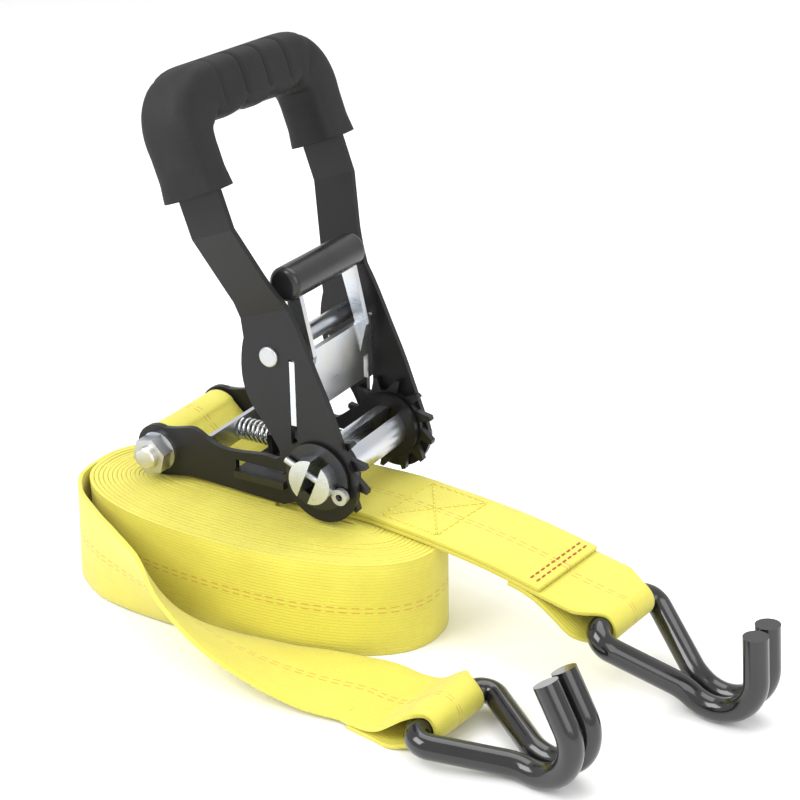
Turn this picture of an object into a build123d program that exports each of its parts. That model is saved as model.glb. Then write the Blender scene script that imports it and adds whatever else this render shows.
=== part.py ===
from build123d import *

import os
from math import atan2, cos, degrees, pi, radians, sin

os.makedirs("parts", exist_ok=True)

# A two-piece ratchet tie down, in millimetres. +Z is up, +X runs from the ratchet's tail bolt to its
# spindle, and the origin is the middle of the rolled strap's underside, on the floor.

# ---- webbing ----
webbing_width = 50.0
webbing_thick = 2.1
layer_gap = 0.3
soft_gap = 0.35
eye_slack = 1.9

# ---- rolled long strap: an oval wound on its side ----
roll_half_length = 104.0
roll_half_width = 49.3
roll_roundness = 2.3
roll_points = 40

# ---- place of the ratchet on the roll ----
pivot_x = 41.5
ratchet_y = 28.3
pivot_z = 77.0

# ---- base frame ----
base_inner = 26.5
plate_thick = 3.0
tail_reach = 103.4
tail_drop = 12.8
tail_radius = 14.0
base_waist_top = -1.0
base_bottom = -25.6
base_nose_radius = 17.5

# ---- spindle and gears ----
spindle_radius = 11.5
spindle_slot = 6.4
spindle_end = 46.0
slot_angle = 67.0
running_gap = 0.05
side_gap = 0.4
gear_thick = 3.5
gear_teeth = 12
gear_outer = 25.4
gear_root = 18.6
gear_tip_share = 0.16
gear_root_share = 0.35
gear_phase = 75.6
washer_radius = 17.5
washer_thick = 1.8
pin_radius = 1.7
pin_eye_radius = 4.2
pin_leg = 6.0

# ---- tail bolt ----
bolt_radius = 5.9
bolt_proud = 3.5
nut_flats = 18.0
nut_high = 8.0
tail_washer_radius = 10.5
tail_washer_thick = 1.6
spacer_radius = 10.0
bolt_gap = 0.1

# ---- base pawl and its spring ----
pawl_thick = 4.0
pawl_long = 30.0
pawl_tilt = 0.0
pawl_below = 13.5
pawl_clear = 1.2
pawl_travel = 8.5
pawl_slot_high = 8.6
pawl_tab_high = 13.0
spring_radius = 5.2
spring_wire = 0.8
spring_turns = 7
anchor_high = 12.0

# ---- handle ----
handle_angle = 109.0
arm_thick = 3.0
arm_foot_radius = 20.4
arm_flare_start = 84.0
arm_flare_end = 128.0
arm_flare_out = 50.5
arm_half_width = 12.0
arm_top = 186.0
cross_tube_p = -5.7
cross_tube_h = 62.5
cross_tube_radius = 4.5
rivet_radius = 3.0
rivet_head_radius = 5.2
rivet_head_thick = 1.6

# ---- grip ----
grip_mid_p = -1.0
grip_top = 204.0
grip_bottom = 147.0
grip_outer = 64.5
grip_leg_inner = 40.0
grip_bar_low = 176.0
grip_depth = 28.0
grip_corner = 15.0
grip_edge = 8.0
grip_rod_radius = 5.0
grip_rod_h = 180.0
grip_fit = 0.1

# ---- release plate (handle pawl) ----
web_thick = 3.0
web_top = 58.0
web_low = 28.0
web_half = 25.6
ear_travel = 8.3
ear_slot_gap = 0.3
flange_half = 4.2
shoulder_run = 13.5
flange_low = 16.0
sleeve_p = 11.1
sleeve_h = 93.6
sleeve_radius = 8.6
sleeve_half = 31.0
lever_rod_radius = 4.0
release_spring_radius = 3.6
release_spring_wire = 0.7
release_spring_turns = 7
release_spring_top = 28.6
spring_tab_run = 8.0
spring_tab_half = 6.0
spring_across = -7.5
spring_side = -15.0

# ---- wire hooks ----
hook_rod = 5.75
hook_coat = 1.0
hook_bar_half = 29.9
hook_pair_half = 6.6
hook_meet = 44.0
hook_corner = 11.6
hook_ease = 5.0
hook_bend_radius = 19.0
hook_bend_angle = 128.0
hook_tip = 21.0
front_hook_at = (144.0, -69.0, 12.0)
front_hook_turn = -9.0
front_hook_pitch = 7.1
short_hook_at = (192.5, 9.0, 35.0)
short_hook_turn = -5.0
short_hook_pitch = 32.1

# ---- places worked out from the sizes above ----
pivot = Vector(pivot_x, ratchet_y, pivot_z)
plate_outer = base_inner + plate_thick
gear_inner = plate_outer + side_gap
gear_side = gear_inner + gear_thick
arm_inner = gear_side + side_gap
arm_outer = arm_inner + arm_thick
washer_inner = arm_outer + side_gap
spindle_hole = spindle_radius + running_gap
along = Vector(cos(radians(handle_angle)), 0, sin(radians(handle_angle)))
front = Vector(sin(radians(handle_angle)), 0, -cos(radians(handle_angle)))
mid_plane = Plane(origin=(0, ratchet_y, 0), x_dir=(1, 0, 0), z_dir=(0, 1, 0))


def side_plane(near):
    """Plane across the spindle, `near` mm towards -Y of the ratchet's middle: X forward, Y up."""
    place = (pivot_x, ratchet_y - near, pivot_z)
    return Plane(origin=place, x_dir=(1, 0, 0), z_dir=(0, -1, 0))


def handle_plane(near):
    """The same plane turned with the handle: X to the handle's front, Y along the handle."""
    place = (pivot_x, ratchet_y - near, pivot_z)
    return Plane(origin=place, x_dir=front, z_dir=(0, -1, 0))


def handle_cross_plane():
    """Plane along the handle and the spindle: X outwards on the near side, Y along the handle."""
    return Plane(origin=pivot, x_dir=(0, -1, 0), z_dir=front * -1)


def finish(builder, label):
    """Name a finished piece and write it."""
    builder.part.label = label
    export_step(builder.part, "parts/" + label + ".step")


def mirrored_pair(near_builder, name):
    """Write a near-side piece and its mirror image on the far side."""
    finish(near_builder, name + "_near")
    with BuildPart() as far_builder:
        mirror(near_builder.part, about=mid_plane)
    finish(far_builder, name + "_far")


# ================= base frame =================


def base_outline():
    """Side plate: round tail, humped waist, round nose about the spindle."""
    nose = base_nose_radius
    with BuildLine() as line:
        tail_top = (-tail_reach + 4.0, -tail_drop + 13.4)
        tail_low = (-tail_reach + 3.0, -tail_drop - 13.7)
        ThreePointArc(tail_top, (-tail_reach - tail_radius, -tail_drop), tail_low)
        waist = [tail_top, (-78.0, 3.4), (-71.0, -0.6), (-34.0, base_waist_top), (-25.0, 2.4)]
        Spline(waist, tangents=[(1, 0.1), (0.75, 0.66)])
        Line((-25.0, 2.4), (-nose * 0.8, nose * 0.6))
        ThreePointArc((-nose * 0.8, nose * 0.6), (nose, 0), (-nose * 0.28, -nose * 0.96))
        Line((-nose * 0.28, -nose * 0.96), (-27.0, base_bottom))
        Line((-27.0, base_bottom), (-84.0, base_bottom + 2.2))
        Line((-84.0, base_bottom + 2.2), tail_low)
    return line.line


pawl_line = (cos(radians(pawl_tilt)), sin(radians(pawl_tilt)))
pawl_tip = ((gear_outer + pawl_clear) ** 2 - (pawl_below - pawl_thick / 2) ** 2) ** 0.5
pawl_mid_away = pawl_tip + pawl_long / 2
slot_long = pawl_long + pawl_travel + 2.0
slot_mid_away = pawl_mid_away - pawl_travel / 2


def pawl_at(away, lift=0.0):
    """A point on the base pawl's line, `away` mm behind the spindle and `lift` mm above the line."""
    rise = lift - pawl_below
    x = -away * pawl_line[0] - rise * pawl_line[1]
    z = -away * pawl_line[1] + rise * pawl_line[0]
    return (x, z)


with BuildPart() as base_plate:
    with BuildSketch(side_plane(base_inner)):
        make_face(base_outline())
        Circle(spindle_hole, mode=Mode.SUBTRACT)
        with Locations((-tail_reach, -tail_drop)):
            Circle(bolt_radius + bolt_gap, mode=Mode.SUBTRACT)
        with Locations(pawl_at(slot_mid_away, (pawl_slot_high - pawl_thick) / 2 - 0.3)):
            Rectangle(slot_long, pawl_slot_high, rotation=pawl_tilt, mode=Mode.SUBTRACT)
    extrude(amount=plate_thick)
mirrored_pair(base_plate, "base_plate")

with BuildPart() as tail_bolt:
    with BuildSketch(side_plane(-plate_outer - tail_washer_thick)):
        with Locations((-tail_reach, -tail_drop)):
            Circle(bolt_radius)
    extrude(amount=2 * (plate_outer + tail_washer_thick) + nut_high + bolt_proud)
    with BuildSketch(side_plane(-plate_outer - tail_washer_thick)):
        with Locations((-tail_reach, -tail_drop)):
            RegularPolygon(nut_flats / 2, 6, major_radius=False)
    extrude(amount=-nut_high)
    chamfer(tail_bolt.faces().sort_by(Axis.Y)[0].edges(), 0.9)
finish(tail_bolt, "tail_bolt")

with BuildPart() as tail_nut:
    with BuildSketch(side_plane(plate_outer + tail_washer_thick)):
        with Locations((-tail_reach, -tail_drop)):
            RegularPolygon(nut_flats / 2, 6, major_radius=False, rotation=14)
            Circle(bolt_radius + running_gap, mode=Mode.SUBTRACT)
    extrude(amount=nut_high)
finish(tail_nut, "tail_nut")

with BuildPart() as tail_washers:
    for face_y in (plate_outer, -plate_outer - tail_washer_thick):
        with BuildSketch(side_plane(face_y)):
            with Locations((-tail_reach, -tail_drop)):
                Circle(tail_washer_radius)
                Circle(bolt_radius + bolt_gap, mode=Mode.SUBTRACT)
        extrude(amount=tail_washer_thick)
finish(tail_washers, "tail_washers")

with BuildPart() as tail_spacer:
    with BuildSketch(side_plane(-base_inner + bolt_gap)):
        with Locations((-tail_reach, -tail_drop)):
            Circle(spacer_radius)
            Circle(bolt_radius + bolt_gap, mode=Mode.SUBTRACT)
    extrude(amount=2 * (base_inner - bolt_gap))
finish(tail_spacer, "tail_spacer")

# ================= base pawl =================

pawl_half = gear_side - 0.1
pawl_tab_half = 9.0
pawl_tab_away = pawl_tip + pawl_long - 6.0

with BuildPart() as base_pawl:
    with BuildSketch(side_plane(-pawl_half)):
        with Locations(pawl_at(pawl_mid_away)):
            Rectangle(pawl_long, pawl_thick, rotation=pawl_tilt)
    extrude(amount=2 * pawl_half)
    with BuildSketch(side_plane(-pawl_tab_half)):
        with Locations(pawl_at(pawl_tab_away, pawl_tab_high / 2)):
            Rectangle(2.6, pawl_tab_high, rotation=pawl_tilt)
    extrude(amount=2 * pawl_tab_half)
finish(base_pawl, "base_pawl")

# The pawl's spring stands between its tab and an anchor plate that crosses the base near the tail.
spring_front_away = pawl_tab_away + 1.5
spring_back_away = spring_front_away + 22.0
spring_lift = pawl_tab_high - spring_radius + 0.4
anchor_thick = 2.5

with BuildPart() as spring_anchor:
    with BuildSketch(side_plane(-base_inner + 0.05)):
        with Locations(pawl_at(spring_back_away + anchor_thick / 2, spring_lift)):
            Rectangle(anchor_thick, anchor_high, rotation=pawl_tilt)
    extrude(amount=2 * (base_inner - 0.05))
finish(spring_anchor, "spring_anchor")

spring_start = pawl_at(spring_back_away - spring_wire - 0.1, spring_lift)
spring_length = spring_back_away - spring_front_away - 2 * spring_wire - 0.3
spring_axis_plane = Plane(
    origin=(pivot_x + spring_start[0], ratchet_y, pivot_z + spring_start[1]),
    x_dir=(0, 1, 0),
    z_dir=(pawl_line[0], 0, pawl_line[1]),
)


def coil_spring(length, radius, wire, turns, plane):
    """An open coil spring that stands on the plane."""
    with BuildPart() as coil:
        with BuildLine() as path:
            Helix(length / turns, length, radius, center=plane.origin, direction=plane.z_dir)
        with BuildSketch(Plane(origin=path.line @ 0, z_dir=path.line % 0)):
            Circle(wire)
        sweep(path=path.line, is_frenet=True)
    return coil


base_pawl_spring = coil_spring(spring_length, spring_radius, spring_wire, spring_turns, spring_axis_plane)
finish(base_pawl_spring, "base_pawl_spring")

# ================= spindle =================


def spindle_half_sketch(sign):
    """Half-moon section on one side of the webbing slot."""
    turn = slot_angle - 90.0 if sign > 0 else slot_angle + 90.0
    half_slot = spindle_slot / 2
    chord = (spindle_radius**2 - half_slot**2) ** 0.5
    with BuildLine(Rot(0, 0, turn)) as line:
        ThreePointArc((half_slot, -chord), (spindle_radius, 0), (half_slot, chord))
        Line((half_slot, chord), (half_slot, -chord))
    return line.line


for sign, name in ((1, "spindle_half_front"), (-1, "spindle_half_back")):
    pin_way = radians(slot_angle - 90.0)
    with BuildPart() as spindle_half:
        with BuildSketch(side_plane(-spindle_end)):
            make_face(spindle_half_sketch(sign))
        extrude(amount=2 * spindle_end)
        for pin_y in (-1, 1):
            pin_centre = (pivot_x, ratchet_y + pin_y * (washer_inner + washer_thick + pin_radius + 0.3), pivot_z)
            with BuildSketch(Plane(origin=pin_centre, z_dir=(cos(pin_way), 0, sin(pin_way)))):
                Circle(pin_radius + running_gap)
            extrude(amount=2 * spindle_radius, both=True, mode=Mode.SUBTRACT)
    finish(spindle_half, name)


def gear_outline():
    """Ratchet teeth: a steep face, a short tip and a long back down to the root."""
    step = 360.0 / gear_teeth
    points = []
    for tooth in range(gear_teeth):
        tip = gear_phase - tooth * step
        for radius, share in ((gear_outer, 0.0), (gear_root, 0.03), (gear_root, gear_root_share)):
            angle = radians(tip - share * step)
            points.append((radius * cos(angle), radius * sin(angle)))
        angle = radians(tip - (1.0 - gear_tip_share) * step)
        points.append((gear_outer * cos(angle), gear_outer * sin(angle)))
    return points


with BuildPart() as gear:
    with BuildSketch(side_plane(gear_inner)):
        Polygon(*gear_outline(), align=None)
        for sign in (1, -1):
            make_face(spindle_half_sketch(sign), mode=Mode.SUBTRACT)
    extrude(amount=gear_thick)
mirrored_pair(gear, "gear")

with BuildPart() as spindle_washers:
    for face_y in (washer_inner, -washer_inner - washer_thick):
        with BuildSketch(side_plane(face_y)):
            Circle(washer_radius)
            Circle(spindle_hole, mode=Mode.SUBTRACT)
        extrude(amount=washer_thick)
finish(spindle_washers, "spindle_washers")

with BuildPart() as split_pins:
    pin_way = radians(slot_angle - 90.0)
    pin_z = Vector(cos(pin_way), 0, sin(pin_way))
    for pin_y in (-1, 1):
        pin_offset = pin_y * (washer_inner + washer_thick + pin_radius + 0.3)
        pin_centre = Vector(pivot_x, ratchet_y + pin_offset, pivot_z)
        low = pin_centre - pin_z * (spindle_radius + pin_leg)
        with BuildSketch(Plane(origin=low, z_dir=pin_z)):
            Circle(pin_radius)
        extrude(amount=2 * spindle_radius + pin_leg + 1.0)
        eye = pin_centre + pin_z * (spindle_radius + pin_eye_radius)
        with BuildSketch(Plane(origin=eye, x_dir=pin_z, z_dir=(0, 1, 0))):
            Circle(pin_eye_radius)
            Circle(pin_eye_radius - 2 * pin_radius * 0.7, mode=Mode.SUBTRACT)
        extrude(amount=pin_radius * 0.8, both=True)
finish(split_pins, "split_pins")

# ================= handle =================

# The release plate slides along a line that passes behind the spindle.
ear_foot = (-5.0, 26.6)
ear_head = (6.2, web_top)
ear_run = ((ear_head[0] - ear_foot[0]) ** 2 + (ear_head[1] - ear_foot[1]) ** 2) ** 0.5
ear_way = ((ear_head[0] - ear_foot[0]) / ear_run, (ear_head[1] - ear_foot[1]) / ear_run)
ear_turn = degrees(atan2(ear_way[1], ear_way[0])) - 90.0


def on_ear(run, across=0.0):
    """A point on the release plate's sliding line, in the handle's own plane."""
    return (
        ear_foot[0] + run * ear_way[0] + across * ear_way[1],
        ear_foot[1] + run * ear_way[1] - across * ear_way[0],
    )


def arm_outline():
    """Side arm: round foot about the spindle, broad waist at the rivet, straight top."""
    foot_mid = (-0.6, -4.4)
    back_low = (foot_mid[0] - arm_foot_radius * 0.94, foot_mid[1] + arm_foot_radius * 0.34)
    front_low = (foot_mid[0] + arm_foot_radius * 0.966, foot_mid[1] + arm_foot_radius * 0.26)
    with BuildLine() as line:
        ThreePointArc(back_low, (foot_mid[0], foot_mid[1] - arm_foot_radius), front_low)
        Line(front_low, (18.6, 24.0))
        Spline((18.6, 24.0), (16.6, 54.0), (14.6, 76.0), (arm_half_width - 1, 104.0), tangents=[(0, 1), (0, 1)])
        Line((arm_half_width - 1, 104.0), (arm_half_width - 1, arm_top))
        Line((arm_half_width - 1, arm_top), (-arm_half_width - 1, arm_top))
        Line((-arm_half_width - 1, arm_top), (-arm_half_width - 1, 92.0))
        Line((-arm_half_width - 1, 92.0), (-17.0, 74.0))
        Spline((-17.0, 74.0), (-23.5, 62.0), (-26.6, 47.0), (-22.5, 30.0), back_low)
    return line.line


with BuildPart() as handle_arm:
    with BuildSketch(handle_plane(arm_inner)):
        make_face(arm_outline())
        Circle(spindle_hole, mode=Mode.SUBTRACT)
        with Locations((cross_tube_p, cross_tube_h)):
            Circle(rivet_radius + running_gap, mode=Mode.SUBTRACT)
        slot_run = (-ear_travel - 0.6 + ear_run + 1.2) / 2
        slot_long_run = ear_run + ear_travel + 2.4
        with Locations(on_ear(slot_run - 0.6)):
            Rectangle(web_thick + 2 * ear_slot_gap, slot_long_run, rotation=ear_turn, mode=Mode.SUBTRACT)
        with Locations((grip_mid_p, grip_rod_h)):
            Circle(grip_rod_radius + running_gap, mode=Mode.SUBTRACT)
    extrude(amount=arm_flare_out + arm_thick - arm_inner)
    with BuildSketch(handle_cross_plane()):
        with BuildLine():
            Polyline(
                (arm_inner, -60.0),
                (arm_inner, arm_flare_start),
                (arm_flare_out, arm_flare_end),
                (arm_flare_out, arm_top + 10),
                (arm_flare_out + arm_thick, arm_top + 10),
                (arm_flare_out + arm_thick, arm_flare_end - 0.5),
                (arm_outer, arm_flare_start - 0.5),
                (arm_outer, -60.0),
                close=True,
            )
        make_face()
    extrude(amount=90, both=True, mode=Mode.INTERSECT)
mirrored_pair(handle_arm, "handle_arm")

with BuildPart() as handle_tube:
    with BuildSketch(handle_plane(-arm_inner + 0.05)):
        with Locations((cross_tube_p, cross_tube_h)):
            Circle(cross_tube_radius)
            Circle(rivet_radius + running_gap, mode=Mode.SUBTRACT)
    extrude(amount=2 * (arm_inner - 0.05))
finish(handle_tube, "handle_tube")

with BuildPart() as handle_rivet:
    with BuildSketch(handle_plane(-arm_outer)):
        with Locations((cross_tube_p, cross_tube_h)):
            Circle(rivet_radius)
    extrude(amount=2 * arm_outer)
    for head_y in (arm_outer, -arm_outer - rivet_head_thick):
        with BuildSketch(handle_plane(head_y)):
            with Locations((cross_tube_p, cross_tube_h)):
                Circle(rivet_head_radius)
        extrude(amount=rivet_head_thick)
    rivet_ends = handle_rivet.faces().sort_by(Axis.Y)
    fillet([rivet_ends[0].edges()[0], rivet_ends[-1].edges()[0]], 1.1)
finish(handle_rivet, "handle_rivet")

# ================= grip =================

with BuildPart() as grip_rod:
    with BuildSketch(handle_plane(-arm_flare_out - arm_thick - 2.0)):
        with Locations((grip_mid_p, grip_rod_h)):
            Circle(grip_rod_radius)
    extrude(amount=2 * (arm_flare_out + arm_thick + 2.0))
finish(grip_rod, "grip_rod")

with BuildPart() as grip_cover:
    with BuildSketch(handle_cross_plane().offset(-grip_mid_p - grip_depth / 2)):
        with Locations((0, (grip_top + grip_bottom) / 2)):
            Rectangle(2 * grip_outer, grip_top - grip_bottom)
        with Locations((0, (grip_bar_low + grip_bottom) / 2)):
            Rectangle(2 * grip_leg_inner, grip_bar_low - grip_bottom, mode=Mode.SUBTRACT)
    extrude(amount=grip_depth)
    lengthways = grip_cover.edges().filter_by(Axis(origin=(0, 0, 0), direction=front))
    outer_corners = lengthways.filter_by(lambda e: (e.center() - pivot).dot(along) > grip_top - 1)
    inner_corners = lengthways.filter_by(lambda e: abs((e.center() - pivot).dot(along) - grip_bar_low) < 1)
    fillet(outer_corners, grip_corner)
    fillet(inner_corners, grip_corner * 0.4)
    faces = grip_cover.faces().filter_by(Plane(origin=pivot, z_dir=front))
    rims = faces.edges().filter_by(lambda e: (e.center() - pivot).dot(along) > grip_bottom + 1)
    fillet(rims, grip_edge)
    for near_y in (arm_flare_out - grip_fit, -arm_flare_out - arm_thick - grip_fit):
        with BuildSketch(handle_plane(near_y)):
            with Locations((-1, arm_top / 2 + grip_fit)):
                Rectangle(2 * arm_half_width + 2 * grip_fit, arm_top)
        extrude(amount=arm_thick + 2 * grip_fit, mode=Mode.SUBTRACT)
    with BuildSketch(handle_plane(-arm_flare_out - arm_thick - 2.0 - grip_fit)):
        with Locations((grip_mid_p, grip_rod_h)):
            Circle(grip_rod_radius + grip_fit)
    extrude(amount=2 * (arm_flare_out + arm_thick + 2.0 + grip_fit), mode=Mode.SUBTRACT)
finish(grip_cover, "grip_cover")

# ================= release plate =================

web_run_low = (web_low - ear_foot[1]) / ear_way[1]
web_mid_run = (web_run_low + ear_run) / 2


def flange_outline():
    """Side strip that joins the web of the release plate to the sleeve's rod."""
    half = web_thick / 2
    with BuildLine() as line:
        Polyline(
            on_ear(ear_run - flange_low, -half),
            on_ear(ear_run, -half),
            (sleeve_p - flange_half, sleeve_h),
            (sleeve_p + flange_half, sleeve_h),
            on_ear(ear_run - 1.0, flange_half + 1.0),
            on_ear(ear_run - flange_low, half),
            close=True,
        )
    return line.line


with BuildPart() as release_plate:
    with BuildSketch(handle_plane(-web_half)):
        with Locations(on_ear(web_mid_run)):
            Rectangle(web_thick, ear_run - web_run_low, rotation=ear_turn)
    extrude(amount=2 * web_half)
    for near_y in (web_half - 0.01, -arm_outer + 0.1):
        with BuildSketch(handle_plane(near_y)):
            with Locations(on_ear((ear_run + shoulder_run) / 2)):
                Rectangle(web_thick, ear_run - shoulder_run, rotation=ear_turn)
        extrude(amount=arm_outer - 0.1 - web_half + 0.01)
    for near_y in (gear_inner + 0.05, -arm_outer + 0.1):
        with BuildSketch(handle_plane(near_y)):
            with Locations(on_ear(ear_run / 2)):
                Rectangle(web_thick, ear_run, rotation=ear_turn)
        extrude(amount=arm_outer - 0.1 - gear_inner - 0.05)
    for near_y in (web_half - web_thick, -web_half):
        with BuildSketch(handle_plane(near_y)):
            make_face(flange_outline())
        extrude(amount=web_thick)
    with BuildSketch(handle_plane(spring_side - spring_tab_half)):
        with Locations(on_ear(spring_tab_run, spring_across / 2 - release_spring_radius / 2)):
            tab_long = -spring_across + release_spring_radius
            Rectangle(tab_long, 2.0, rotation=ear_turn)
    extrude(amount=2 * spring_tab_half)
    with BuildSketch(handle_plane(-sleeve_half + 2.0)):
        with Locations((sleeve_p, sleeve_h)):
            Circle(lever_rod_radius)
    extrude(amount=2 * (sleeve_half - 2.0))
finish(release_plate, "release_plate")

with BuildPart() as release_sleeve:
    with BuildSketch(handle_plane(-sleeve_half)):
        with Locations((sleeve_p, sleeve_h)):
            Circle(sleeve_radius)
    extrude(amount=2 * sleeve_half)
    ends = release_sleeve.faces().filter_by(Axis.Y).edges()
    fillet(ends, 3.0)
    with BuildSketch(handle_plane(-sleeve_half + 2.0)):
        with Locations((sleeve_p, sleeve_h)):
            Circle(lever_rod_radius)
    extrude(amount=2 * (sleeve_half - 2.0), mode=Mode.SUBTRACT)
    for near_y in (web_half - web_thick, -web_half):
        with BuildSketch(handle_plane(near_y)):
            make_face(flange_outline())
        extrude(amount=web_thick, mode=Mode.SUBTRACT)
finish(release_sleeve, "release_sleeve")

release_spring_length = release_spring_top - spring_tab_run - 2.2 * release_spring_wire - 1.2
release_spring_start = on_ear(spring_tab_run + 1.1 + release_spring_wire, spring_across)
release_spring_plane = Plane(
    origin=pivot + front * release_spring_start[0] + along * release_spring_start[1] - Vector(0, spring_side, 0),
    x_dir=(0, 1, 0),
    z_dir=front * ear_way[0] + along * ear_way[1],
)
release_spring = coil_spring(
    release_spring_length, release_spring_radius, release_spring_wire, release_spring_turns, release_spring_plane
)
finish(release_spring, "release_spring")

# ================= wire hooks =================


def hook_frame(at, turn, pitch):
    """Frame of a hook: X towards the bend, Y along the base bar, Z up, pitched down at the bend."""
    flat = Plane(origin=at, x_dir=(cos(radians(turn)), sin(radians(turn)), 0), z_dir=(0, 0, 1))
    return flat.rotated((0, pitch, 0))


def arc_middle(before, corner, after):
    """Middle point of the arc that rounds a corner between two points at one distance from it."""
    reach = (before - corner).length
    halfway = ((before + after) / 2 - corner).length
    radius = reach * (reach**2 - halfway**2) ** 0.5 / halfway
    middle_way = ((before + after) / 2 - corner).normalized()
    return corner + middle_way * (reach**2 / halfway - radius)


def hook_path(frame):
    """One wire: tip, bend, leg, base bar, leg, bend, tip."""
    bend = radians(hook_bend_angle)
    with BuildLine(frame) as line:
        for side in (1, -1):
            corner = Vector(0, hook_bar_half * side, 0)
            meet = Vector(hook_meet, hook_pair_half * side, 0)
            slant = (meet - corner).normalized()
            bar_end = corner - Vector(0, hook_corner * side, 0)
            leg_start = corner + slant * hook_corner
            leg_end = meet - slant * hook_ease
            run_start = meet + Vector(hook_ease, 0, 0)
            radius = hook_bend_radius
            arc_half = run_start + Vector(radius * sin(bend / 2), 0, radius - radius * cos(bend / 2))
            arc_end = run_start + Vector(radius * sin(bend), 0, radius - radius * cos(bend))
            tip = arc_end + Vector(cos(bend), 0, sin(bend)) * hook_tip
            shoulder = arc_middle(bar_end, corner, leg_start)
            elbow = arc_middle(leg_end, meet, run_start)
            Line((0, 0, 0), tuple(bar_end))
            ThreePointArc(tuple(bar_end), tuple(shoulder), tuple(leg_start))
            Line(tuple(leg_start), tuple(leg_end))
            ThreePointArc(tuple(leg_end), tuple(elbow), tuple(run_start))
            ThreePointArc(tuple(run_start), tuple(arc_half), tuple(arc_end))
            Line(tuple(arc_end), tuple(tip))
    return line


def hook_rod_part(frame, radius):
    """The hook's wire, or its outside, as two equal limbs swept from the middle of the base bar."""
    path = hook_path(frame)
    edges = path.edges()
    limbs = (edges[: len(edges) // 2], edges[len(edges) // 2 :])
    with BuildPart() as rod:
        for limb in limbs:
            wire = Wire(limb)
            start = Vector(*frame.origin)
            if (wire @ 0 - start).length > 1.0:
                wire = Wire(list(reversed(limb)))
            with BuildSketch(Plane(origin=wire @ 0, z_dir=wire % 0)):
                Circle(radius)
            sweep(path=wire)
    return rod


def make_hook(name, at, turn, pitch):
    frame = hook_frame(at, turn, pitch)
    wire = hook_rod_part(frame, hook_rod - hook_coat)
    finish(wire, name + "_wire")
    outside = hook_rod_part(frame, hook_rod)
    with BuildPart() as coat:
        add(outside.part)
        add(wire.part, mode=Mode.SUBTRACT)
    finish(coat, name + "_coating")


make_hook("front_hook", front_hook_at, front_hook_turn, front_hook_pitch)
make_hook("short_hook", short_hook_at, short_hook_turn, short_hook_pitch)

# ================= straps =================


def hook_room(at, turn):
    """Both corners of a webbing eye that give way to the hook's shoulders."""
    with BuildPart(mode=Mode.PRIVATE) as room:
        with BuildSketch(Plane.XY):
            for side in (1, -1):
                with BuildLine():
                    Polyline((-5, 26 * side), (-1, 17.8 * side), (10, 16.4 * side), (10, 26 * side), close=True)
                make_face()
        extrude(amount=webbing_width)
    return Pos(at[0], at[1], 0) * Rot(0, 0, turn) * room.part


strap_half = webbing_width / 2
double_thick = 2 * webbing_thick + layer_gap
eye_inner = hook_rod + eye_slack
eye_outer = eye_inner + webbing_thick

with BuildPart() as long_strap_roll:
    with BuildSketch(Plane.XY):
        with BuildLine():
            oval = []
            for step in range(roll_points):
                angle = 2 * pi * step / roll_points
                c, s = cos(angle), sin(angle)
                x = roll_half_length * (1 if c > 0 else -1) * abs(c) ** (2 / roll_roundness)
                y = roll_half_width * (1 if s > 0 else -1) * abs(s) ** (2 / roll_roundness)
                oval.append((x, y))
            Spline(*oval, periodic=True)
        make_face()
    extrude(amount=webbing_width)
finish(long_strap_roll, "long_strap_roll")


def touch(centre, radius, point, side):
    """Where a line from the point touches the circle: side 1 is to the left of the way there."""
    cx, cy = centre
    px, py = point[0] - cx, point[1] - cy
    away = (px**2 + py**2) ** 0.5
    share = radius / away
    lean = (1 - share**2) ** 0.5
    ux, uy = px / away, py / away
    return (cx + radius * (share * ux + side * lean * uy), cy + radius * (share * uy - side * lean * ux))


def eye_hole(centre, radius, apex):
    """The open inside of a webbing eye: a circle drawn out to a point between the layers."""
    upper = touch(centre, radius, apex, 1)
    lower = touch(centre, radius, apex, -1)
    sign = 1 if centre[0] > apex[0] else -1
    with BuildLine() as line:
        Line(apex, upper)
        ThreePointArc(upper, (centre[0] + sign * radius, centre[1]), lower)
        Line(lower, apex)
    return line.line


def strap_plane(at, turn):
    """Upright plane along a strap: X along it, Y up, facing the near side."""
    heading = radians(turn)
    return Plane(origin=at, x_dir=(cos(heading), sin(heading), 0), z_dir=(sin(heading), -cos(heading), 0))


# The short strap is one doubled length: an eye on the tail spacer, a run under the ratchet over the
# roll, and an eye on its hook.
run_low = webbing_width + 0.3 - pivot_z
run_high = run_low + double_thick
bend_x = 20.5
bolt_at = (-tail_reach, -tail_drop)
tail_eye_outer = spacer_radius + soft_gap + webbing_thick
tail_eye_low = (-97.0, run_low)
tail_eye_high = (-70.0, run_high)
tail_eye_apex = (-80.0, run_low + webbing_thick + 0.2)

short_start = Vector(pivot_x + bend_x, ratchet_y, 0)
short_reach = Vector(short_hook_at[0], short_hook_at[1], 0) - short_start
short_turn = short_reach.get_signed_angle(Vector(1, 0, 0), Vector(0, 0, -1))
short_eye = (short_reach.length, short_hook_at[2])
short_low = webbing_width + 0.3
short_high = short_low + double_thick
lap_end = short_reach.length - 28.0
lap_high = short_high - 5.4
split_at = short_reach.length - 46.0
split_low = short_high - 3.6 - double_thick

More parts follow.
